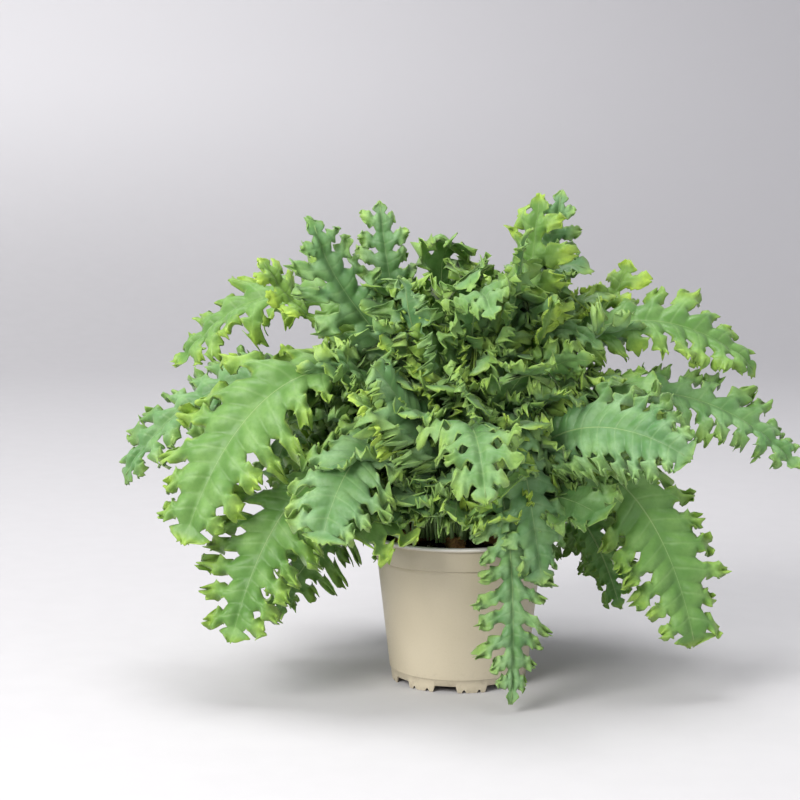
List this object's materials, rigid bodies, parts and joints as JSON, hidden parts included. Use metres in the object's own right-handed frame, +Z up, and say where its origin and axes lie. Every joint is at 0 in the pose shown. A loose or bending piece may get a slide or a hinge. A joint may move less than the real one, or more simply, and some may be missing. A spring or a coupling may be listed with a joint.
{
  "type": "potted fern",
  "caption": "Bushy fern in a tapered plastic nursery pot; lobed, ruffled fronds arch out to all sides and hang over the rim, on stalks from a creeping rhizome.",
  "frame": {"origin": "centre of the pot's foot, on the surface that it stands on", "axes": "+Z up, +X to the plant's right as seen from the front, -Y towards the front"},
  "size_m": [0.4544, 0.3263, 0.3285],
  "materials": {
    "pot_plastic": "satin moulded, with a paler lip",
    "soil": "loose, damp, dark reddish brown peat and bark",
    "rhizome": "covered with soft golden brown scales",
    "frond": "matt, waxy blue green with lighter edges",
    "young_frond": "thin, fresh yellow green"
  },
  "bodies": {
    "root": {"pot": "pot_plastic", "potting_soil": "soil", "rhizome": "rhizome", "frond_trailing": "frond", "frond_front_hanging": "frond", "frond_right_low": "frond", "frond_right_level": "frond", "frond_right_far": "frond", "frond_right_under": "frond", "frond_right_upper": "frond", "frond_front_broad": "frond", "frond_front_young": "frond", "frond_left_hanging": "frond", "frond_left_bright": "frond", "frond_left_far": "frond", "frond_left_upper": "frond", "frond_left_low": "frond", "frond_front_level": "frond", "frond_crest_left": "frond", "frond_crest_middle": "frond", "frond_crest_right": "frond", "frond_crest_far_left": "frond", "young_leaf_right": "young_frond", "young_leaf_middle": "young_frond", "young_leaf_left": "young_frond", "frond_apron_1": "frond", "frond_apron_2": "frond", "frond_apron_3": "frond", "frond_apron_4": "frond", "frond_apron_5": "frond", "frond_apron_6": "frond", "frond_crown_1": "frond", "frond_crown_2": "frond", "frond_crown_3": "frond", "frond_crown_4": "frond", "frond_shoulder_1": "frond", "frond_shoulder_2": "frond", "frond_shoulder_3": "frond", "frond_shoulder_4": "frond", "frond_shoulder_5": "frond", "frond_outer_1": "frond", "frond_outer_2": "frond", "frond_outer_3": "frond", "frond_outer_4": "frond", "frond_outer_5": "frond", "frond_mantle_1": "frond", "frond_mantle_2": "frond", "frond_mantle_3": "frond", "frond_mantle_4": "frond", "frond_mantle_5": "frond", "frond_mantle_6": "frond", "frond_skirt_1": "frond", "frond_skirt_2": "frond", "frond_skirt_3": "frond", "frond_skirt_4": "frond", "frond_skirt_5": "frond", "frond_skirt_6": "frond", "frond_rim_1": "frond", "frond_rim_2": "frond", "frond_rim_3": "frond"}
  },
  "joints": []
}
